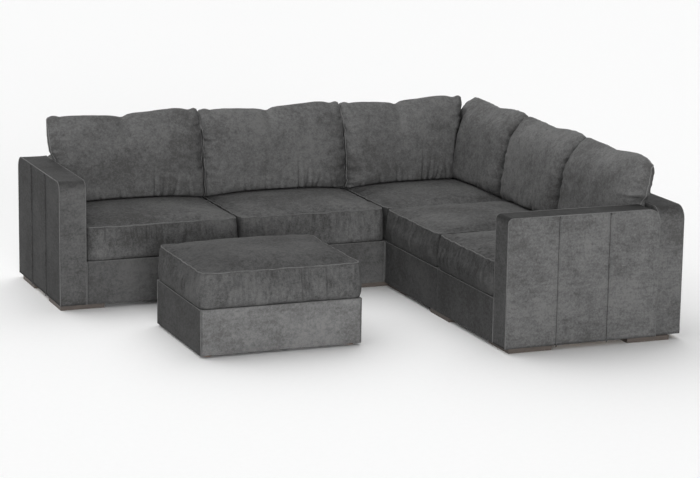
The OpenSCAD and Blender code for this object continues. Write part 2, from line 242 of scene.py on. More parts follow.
def to_row(plan_x, plan_y, height, hem):
    """Points in the CAD frame from plan places and heights above a hem."""
    return np.stack([plan_x - TOTAL_W / 2, plan_y + SEAT_D / 2, height + hem], -1)


def seat_place(seat, x, y, height):
    """Points in the CAD frame from places about a seat's middle and heights above its hem."""
    left, front = SEATS[seat]
    hem = PEG_LEN if seat == "ottoman" else SHOE_H
    return to_row(left + SEAT_W / 2 + x, front + SEAT_D / 2 + y, height, hem)


# Cloth simulation

CLOTH = {
    "quality": 5, "mass": 0.3, "tension_stiffness": 15, "compression_stiffness": 15,
    "shear_stiffness": 5, "bending_stiffness": 0.4, "tension_damping": 5,
    "compression_damping": 5, "shear_damping": 5, "air_damping": 2, "use_pressure": True,
    "vertex_group_shrink": "seams", "shrink_min": 0}


def simulate(points, faces, seams, pinned, pressure, shrink, steps, cap):
    """Inflates a closed case with drawn-in seams, and caps how far its points move."""
    obj = make_object("case", points, faces)
    for name, members in (("seams", seams), ("held", pinned)):
        obj.vertex_groups.new(name=name).add([int(i) for i in members], 1.0, "REPLACE")
    cloth = obj.modifiers.new("Cloth", "CLOTH")
    settings = cloth.settings
    for key, value in CLOTH.items():
        setattr(settings, key, value)
    if len(pinned):
        settings.vertex_group_mass = "held"
    settings.uniform_pressure_force = pressure
    settings.shrink_max = shrink
    settings.effector_weights.gravity = 0
    cloth.collision_settings.use_collision = False
    cloth.collision_settings.use_self_collision = False
    cloth.point_cache.frame_start, cloth.point_cache.frame_end = 1, steps
    for step in range(1, steps + 1):
        scene.frame_set(step)
    evaluated = obj.evaluated_get(bpy.context.evaluated_depsgraph_get())
    moved = read_points(evaluated.to_mesh())
    evaluated.to_mesh_clear()
    bpy.data.objects.remove(obj)
    scene.frame_set(1)
    shift = moved - points
    length = np.linalg.norm(shift, axis=1)
    return points + shift * np.minimum(1, cap / np.maximum(length, 1e-9))[:, None]


def subdivided(points, faces, values):
    """Mesh after one smooth subdivision, with the values at its points carried along."""
    obj = make_object("coarse", points, faces)
    for name, value in values.items():
        attribute = obj.data.attributes.new(name, "FLOAT", "POINT")
        attribute.data.foreach_set("value", np.asarray(value, np.float32))
    smooth = obj.modifiers.new("Subdivision", "SUBSURF")
    smooth.levels = 1
    mesh = bpy.data.meshes.new_from_object(
        obj.evaluated_get(bpy.context.evaluated_depsgraph_get()))
    new_points = read_points(mesh)
    new_faces = read_values(mesh.loops, "vertex_index", kind=np.int32).reshape(-1, 4)
    carried = {name: read_values(mesh.attributes[name].data, "value").astype(float)
               for name in values}
    bpy.data.objects.remove(obj)
    bpy.data.meshes.remove(mesh)
    return new_points, new_faces, carried


# Back pillows

PILLOW_W, PILLOW_H, PILLOW_HALF = 0.885, 0.512, 0.082
SINK = 0.012
PILLOW_LOW = SEAM_Z - SINK
LEAN = math.tan(math.radians(LEANING))
# How far the tops of the row's and the wing's pillows curl back on their lean
TIP, WING_TIP = 0.030, 0.012
# Powers of a pillow's fullness from its middle up to its top edge and down to its foot
TOP_POWER, FOOT_POWER = 3.4, 7
# Power and exponent of the fullness from a row pillow's middle out to its side seams
SIDE_FORM = (4.5, 0.40)
# Place of the notch in a pillow's top edge, as a share of its width
NOTCH = 0.475

# Height of a pillow's top edge above an even top: share of its width, millimetres
TOP_EDGE = np.array([
    (0, -24), (0.018, -6), (0.045, 2), (0.066, 0), (0.085, -7), (0.11, -4), (0.15, -2), (0.2, -2),
    (0.3, -5), (0.4, -10), (0.44, -15), (0.47, -23), (0.49, -21), (0.51, -9), (0.56, -2),
    (0.65, 2), (0.75, 9), (0.83, 13), (0.88, 11), (0.915, 3), (0.935, 1), (0.965, 10),
    (0.985, 4), (1, -20)])
WING_TOP_EDGE = np.array([
    (0, -12), (0.04, -4), (0.1, -1), (0.3, -5), (0.44, -12), (0.5, -13), (0.58, -7), (0.7, 3),
    (0.83, 8), (0.9, 6), (0.95, 1), (1, -12)])

# Folds at the side seams of the row's pillows: side, share of the height, length in metres,
# depth in millimetres, tilt
SIDE_FOLDS = [
    (-1, 0.79, 0.060, 6, 0.10), (-1, 0.65, 0.040, 4, 0.0), (-1, 0.54, 0.035, 4, 0.05),
    (-1, 0.345, 0.080, 7, -0.05), (-1, 0.25, 0.035, 4, 0.0), (1, 0.70, 0.035, 3, 0.0),
    (1, 0.36, 0.045, 5, 0.05)]
# Short creases that stand on a pillow's foot: share of its width, millimetres, height, tilt
FOOT_CREASES = [
    (0.10, 3, 0.05, 0.1), (0.275, 6, 0.05, -0.1), (0.41, 6, 0.06, 0.0), (0.50, 3, 0.05, 0.1),
    (0.642, 7, 0.10, 0.02), (0.695, 5, 0.09, 0.1), (0.767, 4, 0.07, 0.2), (0.90, 3, 0.08, -0.2)]


def fullness(v, power, edge=0.5):
    return np.maximum(0, 1 - np.abs(v) ** power) ** edge


def even_steps(half, form, count):
    """Values from -1 to 1, evenly spaced along a section of a pillow."""
    v = np.sin(np.linspace(-1, 1, 4001) * math.pi / 2)
    steps = np.hypot(np.diff(v * half), np.diff(PILLOW_HALF * form(v)))
    run = np.concatenate([[0], np.cumsum(steps)])
    return np.interp(np.linspace(0, run[-1], count + 1), run, v)


def rounded_corner(a, b, share_a, share_b):
    """Draws the corners of a square sheet in to a curve."""
    u = np.clip((np.abs(a) - 1 + share_a) / share_a, 0, 1)
    v = np.clip((np.abs(b) - 1 + share_b) / share_b, 0, 1)
    return (np.where(u > 0, np.sign(a) * (1 - share_a + share_a * u * np.sqrt(1 - v * v / 2)), a),
            np.where(v > 0, np.sign(b) * (1 - share_b + share_b * v * np.sqrt(1 - u * u / 2)), b))


def pillow_case(top_edge, far, near, behind, notch, blunt):
    """One pillow, upright and free of any seat: across, depth and height, with its places.

    far and near give the form of its two ends seen from above, and behind how far towards
    the back its side seams lie, because the pillow leans on something flat. notch is how much
    thinner it is below the notch, and blunt how far its corners are drawn in, as shares.
    """
    cols, rows = 70, 44
    waist, notch_width = 0.0015, 0.04

    def end_form(v):
        return np.where(v < 0, fullness(v, *far), fullness(v, *near))

    def height_form(v):
        return fullness(v, np.where(v > 0, TOP_POWER, FOOT_POWER))

    def both_sides(grid):
        return np.concatenate([grid.ravel(), grid[1:-1, 1:-1].ravel()])

    s, t = np.meshgrid(even_steps(PILLOW_W / 2, end_form, cols),
                       even_steps(PILLOW_H / 2, height_form, rows))
    a, b = rounded_corner(s, t, *blunt)
    up = (b + 1) / 2
    edge = np.interp((a + 1) / 2, top_edge[:, 0], top_edge[:, 1] / 1000)
    x = a * PILLOW_W / 2 * (1 - waist * (1 - b * b))
    z = up * PILLOW_H + edge * up ** 4
    across = end_form(s)
    half = PILLOW_HALF * across * height_form(t)
    half = half * (1 - notch * bell((a + 1) / 2 - NOTCH, notch_width) * up ** 6)
    front = np.arange((cols + 1) * (rows + 1)).reshape(rows + 1, cols + 1)
    back = front.copy()
    inner = (cols - 1) * (rows - 1)
    back[1:-1, 1:-1] = front.size + np.arange(inner).reshape(rows - 1, cols - 1)
    on_back = np.concatenate([np.zeros(s.size), np.ones(inner)])
    depth = behind * (1 - both_sides(across)) + (2 * on_back - 1) * both_sides(half)
    points = np.stack([both_sides(x), depth, both_sides(z)], -1)
    faces = np.vstack([grid_faces(front), grid_faces(back)[:, ::-1]])
    values = {"s": both_sides(s), "t": both_sides(t), "back": on_back}
    rim = np.concatenate([front[0, :-1], front[:-1, -1], front[-1, :0:-1], front[:0:-1, 0]])
    moved = simulate(points, faces, rim, [], 1.2, 0.05, 14, 0.014)
    # the outline stays nearly where the photograph has it, and the faces keep their wrinkles
    points = points + (moved - points) * (0.05, 1, 0.15)
    points, faces, values = subdivided(points, faces, values)
    points = points * (PILLOW_W / 2 / np.abs(points[rim, 0]).max(), 1, 1)
    return points, faces, values, rim


def crown(x, y, half_x, half_y):
    """Height of a cushion's domed top above its seam."""
    return (CROWN * (1 - np.minimum(1, np.abs(x) / half_x) ** 3)
            * (1 - np.minimum(1, np.abs(y) / half_y) ** 3))


def build_pillow(name, case, seed):
    """A pillow in its place, with its own puckers and creases."""
    seat, turned, cuts, ends = PILLOWS[name]
    points, faces, values, rim = case
    s, t, back = values["s"], values["t"], values["back"]
    wide, deep = (SEAT_D, SEAT_W) if turned else (SEAT_W, SEAT_D)
    shift = (cuts[0] - cuts[1]) / 2
    width = wide - cuts[0] - cuts[1] - 2 * PILLOW_GAP
    x, d, z = points.T.copy()
    # the pillow is a little wider at its top than at its foot
    flare, welt = 0.014, 0.0029
    x = x * width / PILLOW_W * (1 + flare * np.maximum(0, t) ** 2)
    from_side = (1 - np.abs(s)) * width / 2
    from_top = (1 - t) * PILLOW_H / 2
    from_foot = (1 + t) * PILLOW_H / 2
    from_rim = np.minimum(np.minimum(from_side, from_top), from_foot)
    normals = point_normals(np.stack([x, d, z], -1), faces)
    place = np.stack([x, d * 0.5, z], -1)
    inside = 1 - np.exp(-from_rim / 0.006)

    # gathers that run in from the side seams and, less, from the top seam
    side_depth, foot_depth, notch_mm = (0.0100, 0.0009, 1.0) if turned else (0.0030, 0.0022, 3.5)
    sideways = layers(place, seed, (1, (0.09, 0.2, 0.017)), (0.9, (0.15, 0.2, 0.036)))
    downward = clouds(place, (0.020, 0.2, 0.06), seed + 2)
    relief = side_depth * sideways * np.exp(-from_side / 0.040)
    relief += 0.0022 * downward * np.exp(-from_top / 0.03)
    for u, deep_mm, tall, tilt in FOOT_CREASES:
        off = x - (2 * u - 1) * width / 2 - tilt * from_foot
        line = crease(off, (0.75, 0.018, 0.011), (0.25, -0.016, 0.010))
        relief += foot_depth * deep_mm * line * bell(from_foot, tall * 1.5)
    # folds below the notch and beside the hump of the top edge
    for u, deep_mm, tall, tilt in (
            (NOTCH, notch_mm, 0.06, 0.3), (0.93, 3, 0.07, -0.2), (0.065, 3, 0.05, 0.3)):
        off = x - (2 * u - 1) * width / 2 - tilt * from_top
        relief -= 0.001 * deep_mm * bell(off, 0.012) * bell(from_top, tall)
    relief += layers(place, seed + 3, (0.0035, 0.15), (0.0016, 0.055), (0.0005, 0.02))
    moved = np.stack([x, d, z], -1) + normals * (relief * inside)[:, None]
    x, d, z = moved.T
    # in the row the side seams lie forward and are drawn in between top and foot, and the rear
    # half fills the joint behind them
    if not turned:
        ahead = np.where((name == "corner_rear_pillow") & (s > 0), 0, 1)
        across = fullness(np.clip(s, -1, 1), *SIDE_FORM)
        forward = 0.032 + 0.013 * ahead
        d = d - forward * (1 - across) * (1 - t ** 6)
        folds = 0.0100 * sideways * np.exp(-from_side / 0.045)
        for side, up, length, deep_mm, tilt in SIDE_FOLDS:
            off = z - up * PILLOW_H - tilt * from_side
            line = crease(off, (0.75, -0.017, 0.011))
            folds += np.where(s * side > 0, 0.0019 * deep_mm * line * bell(from_side, length), 0)
        d = d - (1 - back) * folds * (1 - np.exp(-from_side / 0.008))
        drawn = 0.0045 * ahead * (1 - t ** 4)
        x = x - np.sign(s) * drawn * np.exp(-from_side / 0.02)
        x = x + np.sign(s) * 4 * across * (1 - across) * back * (0.012 + drawn) * ahead
    # the seam wanders and takes the cloth beside it along, and all stays within the seat
    wander = clouds(place * (1, 0, 1), 0.026, seed + 6) * np.exp(-from_rim / 0.012)
    d = d + 0.0045 * wander * (1 - bell(from_foot, 0.05))
    sway = (0.0022 if turned else 0.0042) * np.sign(s)
    x = x + sway * clouds(place * (0, 0, 1), 0.03, seed + 7) * np.exp(-from_side / 0.02)
    limit = width / 2 + PILLOW_GAP - np.where(from_rim < 0.005, welt + HAIR, HAIR)
    x = np.clip(x, -limit, limit)

    height = PILLOW_LOW + z
    lean = np.where(s < 0, *[math.tan(math.radians(end)) for end in ends])
    # beside an arm or a back the pillow swells out over the top of it
    over = eased(np.clip((height - SIDE_H - 0.004) / 0.05, 0, 1))
    over = over * np.clip((PILLOW_LOW + PILLOW_H - height) / 0.12, 0, 1)
    swollen = np.where(s < 0, *ends) == SPLAY
    swell = 0.030 if name == "end_pillow" else 0.018
    x = (x + s * (height - SIDE_H) * lean
         + np.sign(s) * np.abs(s) ** 6 * swell * over * swollen)
    rise = np.maximum(0, (height - SEAM_Z) / PILLOW_H)
    tip = WING_TIP if turned else TIP
    if turned:
        # the wing's pillows are fuller in front, and the last one droops beside the arm
        full = 0.020 + (0.022 * bell(s + 0.5, 0.35) if name == "corner_side_pillow" else 0)
        d = d + full * np.clip(d / PILLOW_HALF, -1, 0) * (1 - 0.8 * np.maximum(0, t) ** 4)
        if name == "end_pillow":
            droop = 0.014 * np.clip((s - 0.55) / 0.45, 0, 1) ** 2
            height = height - droop * np.maximum(0, t) ** 3
    y = (-PILLOW_HALF - HAIR + (height - SEAM_Z - PILLOW_HALF) * LEAN + tip * rise ** 4) + d
    rear_plane = (height - SIDE_H) * LEAN
    y = np.minimum(y, -0.0009 + rear_plane)
    if name == "corner_side_pillow":
        # its far end lies flat against the end of the pillow behind the corner seat
        beside = 0.0010 - PILLOWS["corner_rear_pillow"][2][1] + rear_plane
        from_end = x + width / 2
        beside = beside - np.interp(from_end, [0.105, 0.130, 0.148, 0.17], [0, 0.011, 0.042, 1])
        y = np.maximum(y, beside)
    if name == "corner_rear_pillow":
        # its end swells near the top
        bulge = eased(np.clip((height - 0.85) / 0.06, 0, 1))
        x = x + 0.014 * np.maximum(0, s) ** 8 * bulge
    seat_top = SEAM_Z + crown(
        x + shift, y + deep / 2, wide / 2 - CUSHION_GAP, deep / 2 - CUSHION_GAP)
    height = np.maximum(height, seat_top + 0.0022 + 0.2 * np.maximum(z, 0))
    left, front = SEATS[seat]
    if turned:
        place = to_row(left + SEAT_W + y, front + SEAT_D / 2 - x, height, SHOE_H)
    else:
        place = to_row(left + wide / 2 + shift + x, front + SEAT_D + y, height, SHOE_H)
    parts = Parts()
    parts.add(place, faces)
    parts.add(*tube(smooth_path(place[rim]), welt, True), 1)
    obj = parts.build(name + "_case")
    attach(obj, name + "_body")
    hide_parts(name)
    return obj


# Seat cushions and seat bases: boxes with rounded upright edges

def box_outline(half_x, half_y, radius, cols, rows):
    """Outline of a rounded rectangle at the border points of a grid, and their way out."""
    across, up = np.linspace(-1, 1, cols + 1)[:-1], np.linspace(-1, 1, rows + 1)[:-1]
    x = half_x * np.concatenate([across, np.ones(rows), -across, -np.ones(rows)])
    y = half_y * np.concatenate([-np.ones(cols), up, np.ones(cols), -up])
    core_x = np.clip(x, -half_x + radius, half_x - radius)
    core_y = np.clip(y, -half_y + radius, half_y - radius)
    out = np.stack([x - core_x, y - core_y], -1)
    out /= np.maximum(np.linalg.norm(out, axis=1), 1e-9)[:, None]
    return np.stack([core_x, core_y], -1) + radius * out, out


def panel(outline, cols, rows):
    """Plan points of a grid that fills an outline, and each point's share of the way out."""
    points = np.zeros((rows + 1, cols + 1, 2))
    u, v = np.meshgrid(np.linspace(-1, 1, cols + 1), np.linspace(-1, 1, rows + 1))
    share = np.maximum(np.abs(u), np.abs(v))
    ring = np.concatenate([outline, outline[:1]])
    # where runs from 0 to 8 along the four sides of the outline, and at is a point's place on it
    across, up = np.linspace(0, 2, cols + 1)[:-1], np.linspace(0, 2, rows + 1)
    where = np.concatenate([across, 2 + up[:-1], 4 + across, 6 + up])
    tiny = 1e-9
    p, q = u / np.maximum(share, tiny), v / np.maximum(share, tiny)
    at = np.where(p >= 1 - tiny, 3 + q, np.where(q >= 1 - tiny, 5 - p, 7 - q))
    at = np.where(q <= tiny - 1, p + 1, at)
    for k in range(2):
        points[..., k] = np.interp(at % 8, where, ring[:, k]) * share
    return points, share


def cap_index(ring, start, cols, rows):
    """Point numbers of a grid on a ring of numbers, whose inner points count on from start."""
    index = np.zeros((rows + 1, cols + 1), int)
    index[1:-1, 1:-1] = start + np.arange((cols - 1) * (rows - 1)).reshape(rows - 1, cols - 1)
    index[0, :-1], index[:-1, -1] = ring[:cols], ring[cols:cols + rows]
    index[-1, :0:-1] = ring[cols + rows:2 * cols + rows]
    index[:0:-1, 0] = ring[2 * cols + rows:]
    return index


def cushion_case():
    """One boxed cushion about its middle, with height from its underside, and its places."""
    cols, rows, tall = 64, 53, 14
    half_x, half_y = CUSHION_X, CUSHION_Y
    corner_round, hollow = 0.040, 0.004
    levels = np.linspace(0, 1, tall + 1)
    inset_mm = [4, 1.8, 0.8, 0.3, 0, 0, 1.5, 5]
    inset = np.interp(levels, [0, 0.04, 0.1, 0.25, 0.4, 0.75, 0.9, 1], np.array(inset_mm) / 1000)
    rings = []
    for level, draw in zip(levels, inset):
        outline, _ = box_outline(half_x - draw, half_y - draw, corner_round, cols, rows)
        x, y = outline.T
        x, y = (x * (1 - hollow / half_x * (1 - (y / half_y) ** 2)),
                y * (1 - hollow / half_y * (1 - (x / half_x) ** 2)))
        rings.append(np.stack([x, y, np.full(len(x), level * CUSHION_H)], -1))
    walls = np.array(rings)
    count = walls.shape[1]
    top, share = panel(walls[-1, :, :2], cols, rows)
    low, _ = panel(walls[0, :, :2], cols, rows)
    top_z = CUSHION_H + crown(top[..., 0], top[..., 1], half_x, half_y)
    wall_index = np.arange((tall + 1) * count).reshape(tall + 1, count)
    inner = (cols - 1) * (rows - 1)
    seam, foot = wall_index[-1], wall_index[0]
    top_index = cap_index(seam, wall_index.size, cols, rows)
    low_index = cap_index(foot, wall_index.size + inner, cols, rows)
    inside = (slice(1, -1), slice(1, -1))
    points = np.vstack([
        walls.reshape(-1, 3),
        np.concatenate([top, top_z[..., None]], -1)[inside].reshape(-1, 3),
        np.concatenate([low, np.zeros_like(top_z)[..., None]], -1)[inside].reshape(-1, 3)])
    closed = np.hstack([wall_index, wall_index[:, :1]])
    faces = np.vstack([grid_faces(closed), grid_faces(top_index), grid_faces(low_index)[:, ::-1]])
    values = {
        "spread": np.concatenate([np.ones(wall_index.size), *[share[inside].ravel()] * 2]),
        "level": np.concatenate([np.repeat(levels, count), np.ones(inner), np.zeros(inner)])}
    held = np.concatenate([foot, low_index[inside].ravel()])
    seams = np.concatenate([seam, wall_index[1]])
    moved = simulate(points, faces, seams, held, 2.0, 0.04, 12, 0.009)
    # the case is let out again to the width that its seams had
    grown = np.abs(points[seam]).max(0)[:2] / np.abs(moved[seam]).max(0)[:2]
    points = moved * (grown[0], grown[1], 1)
    points, faces, values = subdivided(points, faces, values)
    return points, faces, values, seam


def build_cushion(seat, case, free, swell, flip, seed):
    """A seat cushion in its place, with its own wrinkles.

    free names what shows and swells: x for its left side, y for its front, all or none.
    """
    points, faces, values, seam = case
    spread, level = values["spread"], values["level"]
    half_x, half_y = CUSHION_X, CUSHION_Y
    x, y, z = (points * (flip[0], flip[1], 1)).T
    if flip[0] * flip[1] < 0:
        faces = faces[:, ::-1]
    normals = point_normals(np.stack([x, y, z], -1), faces)
    full = 0.9999
    on_top = spread < full
    upper, bottom = (level > full) & on_top, (level < 1 - full) & on_top
    # depth below the seam on the boxing, and way in from it on the top
    below = np.where(level < full, (1 - level) * CUSHION_H, 0)
    inward = np.where(upper, (1 - spread) * min(half_x, half_y), 0)
    # along is the place along the nearest side, so that wrinkles run square to the seam
    by_x = np.abs(x) / half_x > np.abs(y) / half_y
    along = np.where(by_x, y, x)
    side_key = np.where(by_x, np.sign(x), 2 * np.sign(y))
    place = np.stack([along, side_key * 0.31, below - inward], -1)
    edge_fade = np.clip(np.abs(np.abs(x) / half_x - np.abs(y) / half_y) * 6, 0, 1)

    boxing_depth, top_depth, crease_depth, seam_rise = 0.0040, 0.0085, 0.0060, 0.0030
    relief = np.zeros(len(x))
    wall = np.exp(-below / 0.08) * (below > 0)
    gathers = layers(place, seed, (1, (0.017, 0.3, 0.12)), (0.7, (0.036, 0.3, 0.2)))
    relief += np.where(
        below > 0, boxing_depth * gathers * (0.3 + 0.7 * wall) * (0.3 + 0.7 * edge_fade), 0)
    relief += np.where(inward > 0, top_depth * clouds(place, (0.017, 0.3, 0.09), seed + 2)
                       * np.exp(-inward / 0.045) * edge_fade, 0)
    rng = np.random.RandomState(seed)
    for side in (-2, -1, 1, 2):
        for _ in range(7):
            at = rng.uniform(-0.8, 0.8) * (half_x if abs(side) > 1 else half_y)
            tilt = rng.uniform(-0.12, 0.12)
            tall = rng.uniform(0.04, 0.11)
            start = rng.uniform(0.0, 0.12)
            off = along - at - tilt * below
            line = crease(off, (0.6, 0.017, 0.009), (0.4, -0.017, 0.009))
            relief += np.where((side_key == side) & (below > 0),
                               crease_depth * line * bell(below - start, tall), 0)
    body_place = np.stack([x, y, z * 0.6], -1)
    relief += layers(body_place, seed + 3, (0.0022, 0.17), (0.0009, 0.06)) - 0.0006
    fade = np.where(below > 0, 1 - np.exp(-below / 0.006), 1 - np.exp(-inward / 0.008))
    relief = relief * np.where(bottom, 0, fade)
    moved = np.stack([x, y, z], -1) + normals * relief[:, None]
    x, y, z = moved.T
    # the seam rises and dips a little
    from_seam = np.where(level > full, inward, below)
    sway = clouds(body_place * (1, 1, 0), 0.04, seed + 8)
    z = z + seam_rise * sway * np.exp(-from_seam / 0.02)

    # the free side swells out past its base, and the others stop short of their neighbours
    bulge = swell * np.interp(level, [0, 0.1, 0.4, 0.75, 1], [0, 0.5, 1, 0.8, 0.25])
    bulge = bulge * (level < full)
    bulge = bulge + swell * 0.25 * (level >= full) * np.clip((spread - 0.5) * 2, 0, 1)
    # the ottoman stands up to the row at the end of its slide, so both swell less there
    room, front_room, rear_room = 0.03, 0.0128, 0.0040
    limit_x, limit_y = SEAT_W / 2 - 0.0007, SEAT_D / 2 - 0.0007
    low_x = -limit_x - (room if free in ("x", "all") else 0)
    low_y = -limit_y - {"y": front_room, "all": room}.get(free, 0)
    high_x = limit_x + (room if free == "all" else 0)
    high_y = limit_y + (rear_room if free == "all" else 0)
    if free in ("y", "all"):
        y = y - np.where(y < 0, bulge * np.abs(y / half_y) ** 4, 0)
    if free in ("x", "all"):
        x = x - np.where(x < 0, bulge * np.abs(x / half_x) ** 4, 0)
    if free == "all":
        y = y + np.where(y > 0, 0.2 * bulge * np.abs(y / half_y) ** 4, 0)
        x = x + np.where(x > 0, bulge * np.abs(x / half_x) ** 4, 0)
    x, y = np.clip(x, low_x, high_x), np.clip(y, low_y, high_y)
    if free == "all":
        z = z + 0.2 * upper * crown(x, y, half_x, half_y)
    else:
        z = np.where(upper, np.minimum(z, CUSHION_H + crown(x, y, half_x, half_y) + 0.0015), z)
    z = np.maximum(z, 0)
    place = seat_place(seat, x, y, CUSHION_Z + z)
    welt, welt_up = 0.0036, 0.0012
    parts = Parts()
    parts.add(place, faces)
    parts.add(*tube(smooth_path(place[seam] + (0, 0, welt_up)), welt, True), 1)
    obj = parts.build(seat + "_cushion_case")
    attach(obj, seat.replace("_seat", "") + "_cushion")
    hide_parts(seat + "_cushion")
    return obj


def build_base(seat, free, seed):
    """Fitted cloth round a seat base: walls, top, turned-in hem and piped edges."""
    cols, rows = 58, 48
    margin = 0.0002
    half_x, half_y = SEAT_W / 2 - margin, SEAT_D / 2 - margin
    # the profile runs up inside the turned-in hem, down, out and up the wall to the top
    heights = [0.030, 0.0, 0.0, 0.004] + list(np.linspace(0.014, BASE_H - 0.012, 14)) + [
        BASE_H - 0.0045, BASE_H - 0.0013, BASE_H]
    insets = [0.0026, 0.0026, 0.0004] + [0.0] * 16 + [0.0013, 0.0045]
    corner_round = 0.006
    rings = []
    for height, inset in zip(heights, insets):
        outline, out = box_outline(half_x - inset, half_y - inset, corner_round, cols, rows)
        rings.append(np.column_stack([outline, np.full(len(outline), height)]))
    walls = np.array(rings)
    count = walls.shape[1]
    flat = walls.reshape(-1, 3)
    ways = np.tile(np.column_stack([out, np.zeros(count)]), (len(heights), 1))
    strength = np.where((flat[:, 2] > 0.01) & (flat[:, 2] < BASE_H - 0.01), 1.0, 0.0)
    wave = waves(flat, 0.13, (0.035, 0.035, 0.09), 0.0008, seed)
    flat = flat + ways * (strength * wave)[:, None]
    top, _ = panel(walls[-1, :, :2], cols, rows)
    top_points = np.concatenate([top, np.full(top.shape[:2] + (1,), BASE_H)], -1)
    wall_index = np.arange(flat.shape[0]).reshape(len(heights), count)
    top_index = cap_index(wall_index[-1], wall_index.size, cols, rows)
    points = np.vstack([flat, top_points[1:-1, 1:-1].reshape(-1, 3)])
    closed = np.hstack([wall_index, wall_index[:, :1]])
    faces = np.vstack([grid_faces(closed), grid_faces(top_index)])
    parts = Parts()
    parts.add(points, faces)
    # piping stands a little proud of the sides that no neighbour touches
    cord, proud = 0.0028, 0.0014
    edge, _ = box_outline(half_x - cord, half_y - cord, corner_round - 0.001, cols, rows)
    if free in ("x", "all"):
        edge[:, 0] -= proud * (edge[:, 0] < -half_x + 0.02)
    if free in ("y", "all"):
        edge[:, 1] -= proud * (edge[:, 1] < -half_y + 0.02)
    parts.add(*tube(np.column_stack([edge, np.full(len(edge), BASE_H - cord)]), cord, True), 1)
    for sx, sy in ((-1, -1), (-1, 1), (1, -1), (1, 1)):
        # no cord stands in the joint between the wing's two seats
        if (seat, sx, sy) in (("wing_seat", -1, -1), ("end_seat", -1, 1)):
            continue
        x, y = sx * (half_x - cord - 0.0003), sy * (half_y - cord - 0.0003)
        x -= proud * (sx < 0 and free in ("x", "all"))
        y -= proud * (sy < 0 and free in ("y", "all"))
        path = [(x, y, h) for h in np.linspace(0.001, BASE_H - 0.002, 12)]
        parts.add(*tube(path, cord, False), 1)
    parts.points = [seat_place(seat, *points.T) for points in parts.points]
    obj = parts.build(seat + "_base_cover_cloth")
    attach(obj, "ottoman" if seat == "ottoman" else "root")
    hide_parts(seat + "_base_cover")
    return obj


# Covers of arms and backs

def side_columns(length, rounds):
    """Places along a side, closer together at its ends and at the seams of its outer face."""
    step, least = 0.014, 0.0018
    seams = [length / 3, 2 * length / 3]
    places = list(np.arange(0, length, step)) + [length]
    for seam in seams:
        places += [seam + mm / 1000 for mm in (-6, -4, -2, 0, 2, 4, 8, 13, 18, 20, 24)]
    arc = 1 - np.cos(np.linspace(0, math.pi / 2, 12))
    places += list(rounds[0] * arc) + list(length - rounds[1] * arc)
    places = sorted(places)
    kept = [places[0]]
    for value in places[1:]:
        if value - kept[-1] > least:
            kept.append(value)
    kept[-1] = length
    return np.array(kept), seams


